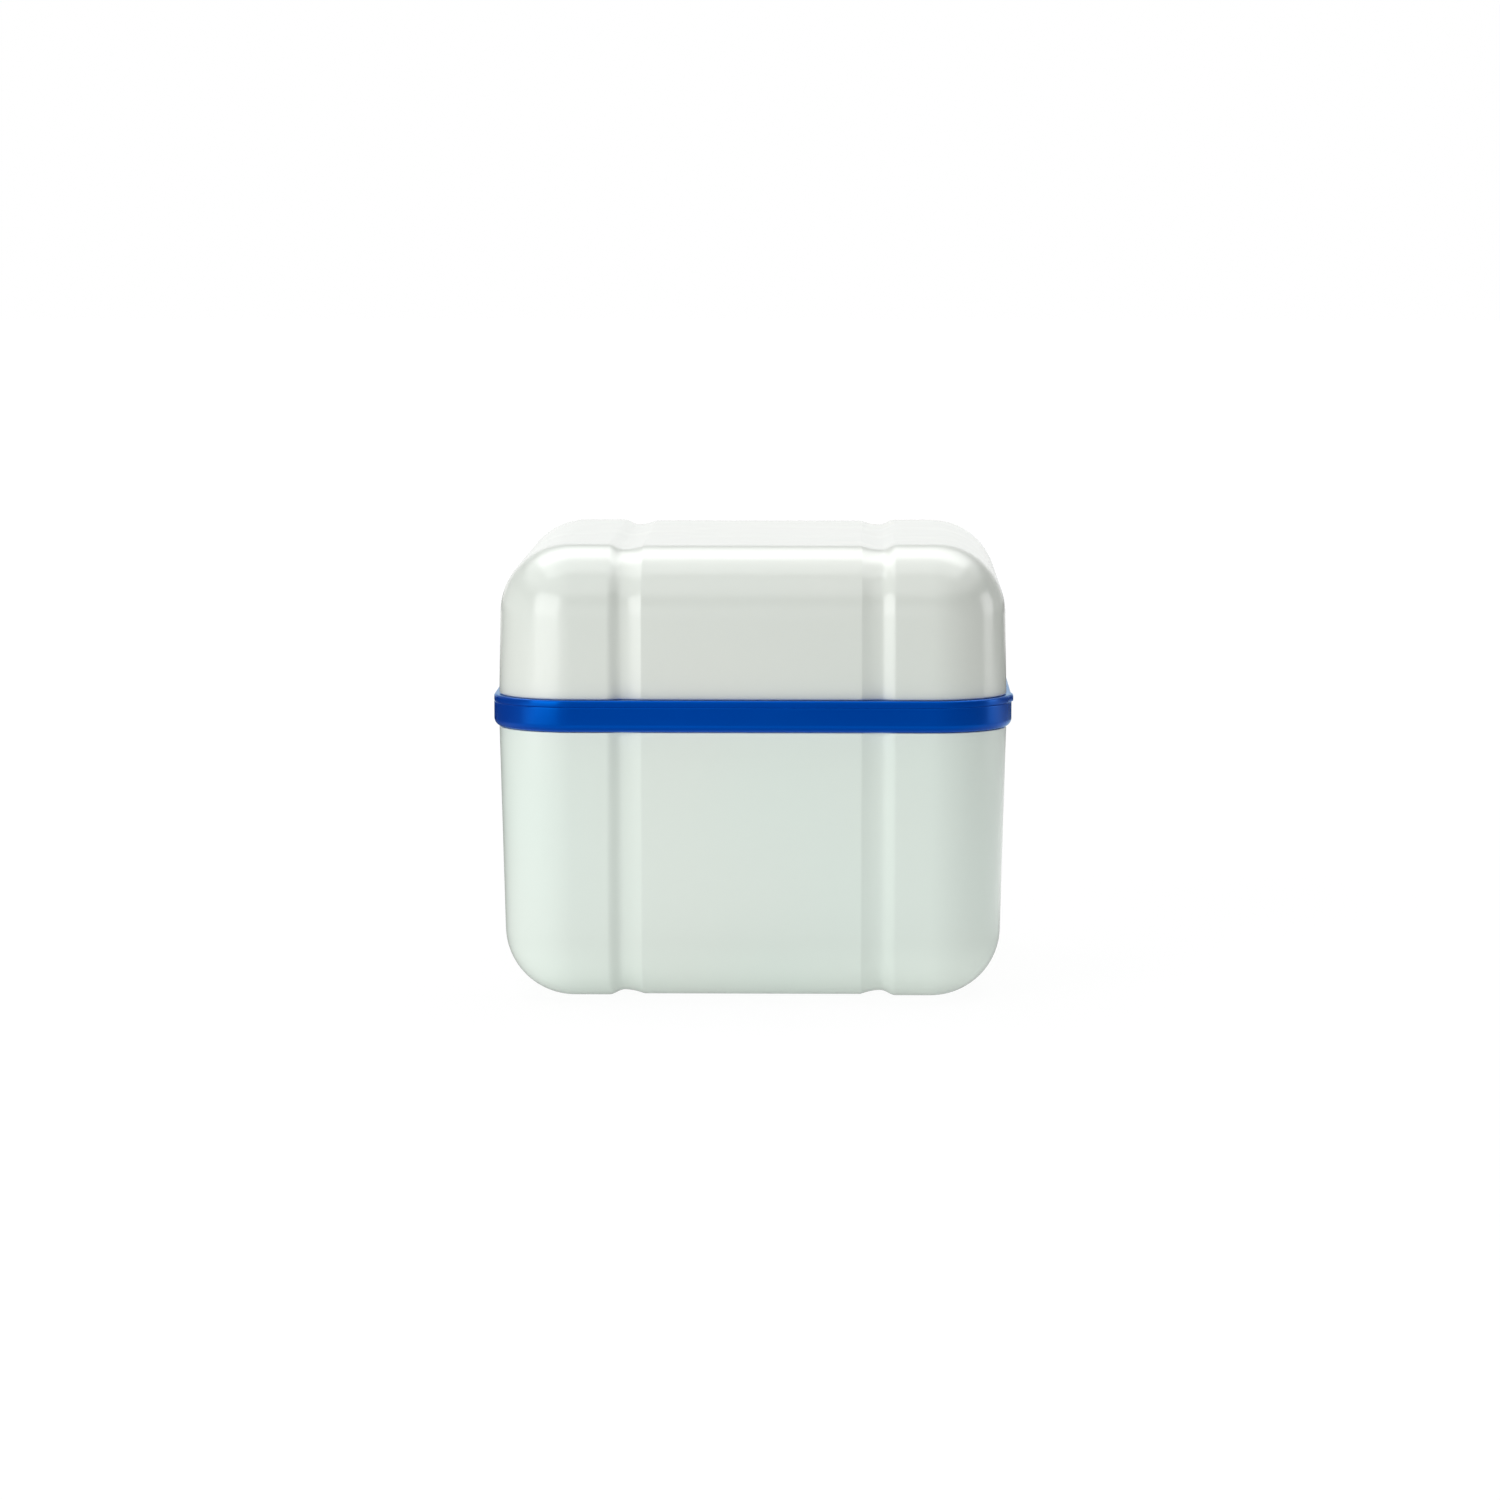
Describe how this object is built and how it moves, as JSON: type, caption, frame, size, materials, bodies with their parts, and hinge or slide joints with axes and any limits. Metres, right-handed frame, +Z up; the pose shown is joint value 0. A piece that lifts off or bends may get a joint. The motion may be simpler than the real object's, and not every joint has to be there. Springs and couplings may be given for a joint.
{
  "type": "denture case",
  "caption": "Cube-shaped denture soaking case: white tub and lift-off lid meeting at a blue rim band, with a lift-out strainer basket hung inside.",
  "frame": {"origin": "centre of the case's underside, on the plane that the two outer base pads stand on", "axes": "+Z up, towards the lid; -Y towards the front face, as the picture shows it; +X to the right, towards the basket's pull lip"},
  "size_m": [0.0903, 0.0898, 0.0788],
  "materials": {
    "white_plastic": "smooth glossy moulded plastic, white with a faint green-grey cast",
    "blue_plastic": "smooth glossy moulded plastic, royal blue",
    "silicone": "matt translucent silicone"
  },
  "bodies": {
    "tub_body": {"tub": "white_plastic", "rim_band": "blue_plastic", "tub_seal": "silicone"},
    "basket_body": {"basket": "blue_plastic"},
    "lid_body": {"lid": "white_plastic", "lid_seal": "silicone"}
  },
  "joints": [
    {"name": "basket_lift", "type": "slide", "parent": "tub_body", "child": "basket_body", "axis": [0, 0, 1], "range_m": [0, 0.06]},
    {"name": "lid_lift", "type": "slide", "parent": "basket_body", "child": "lid_body", "axis": [0, 0, 1], "range_m": [0, 0.08]}
  ]
}
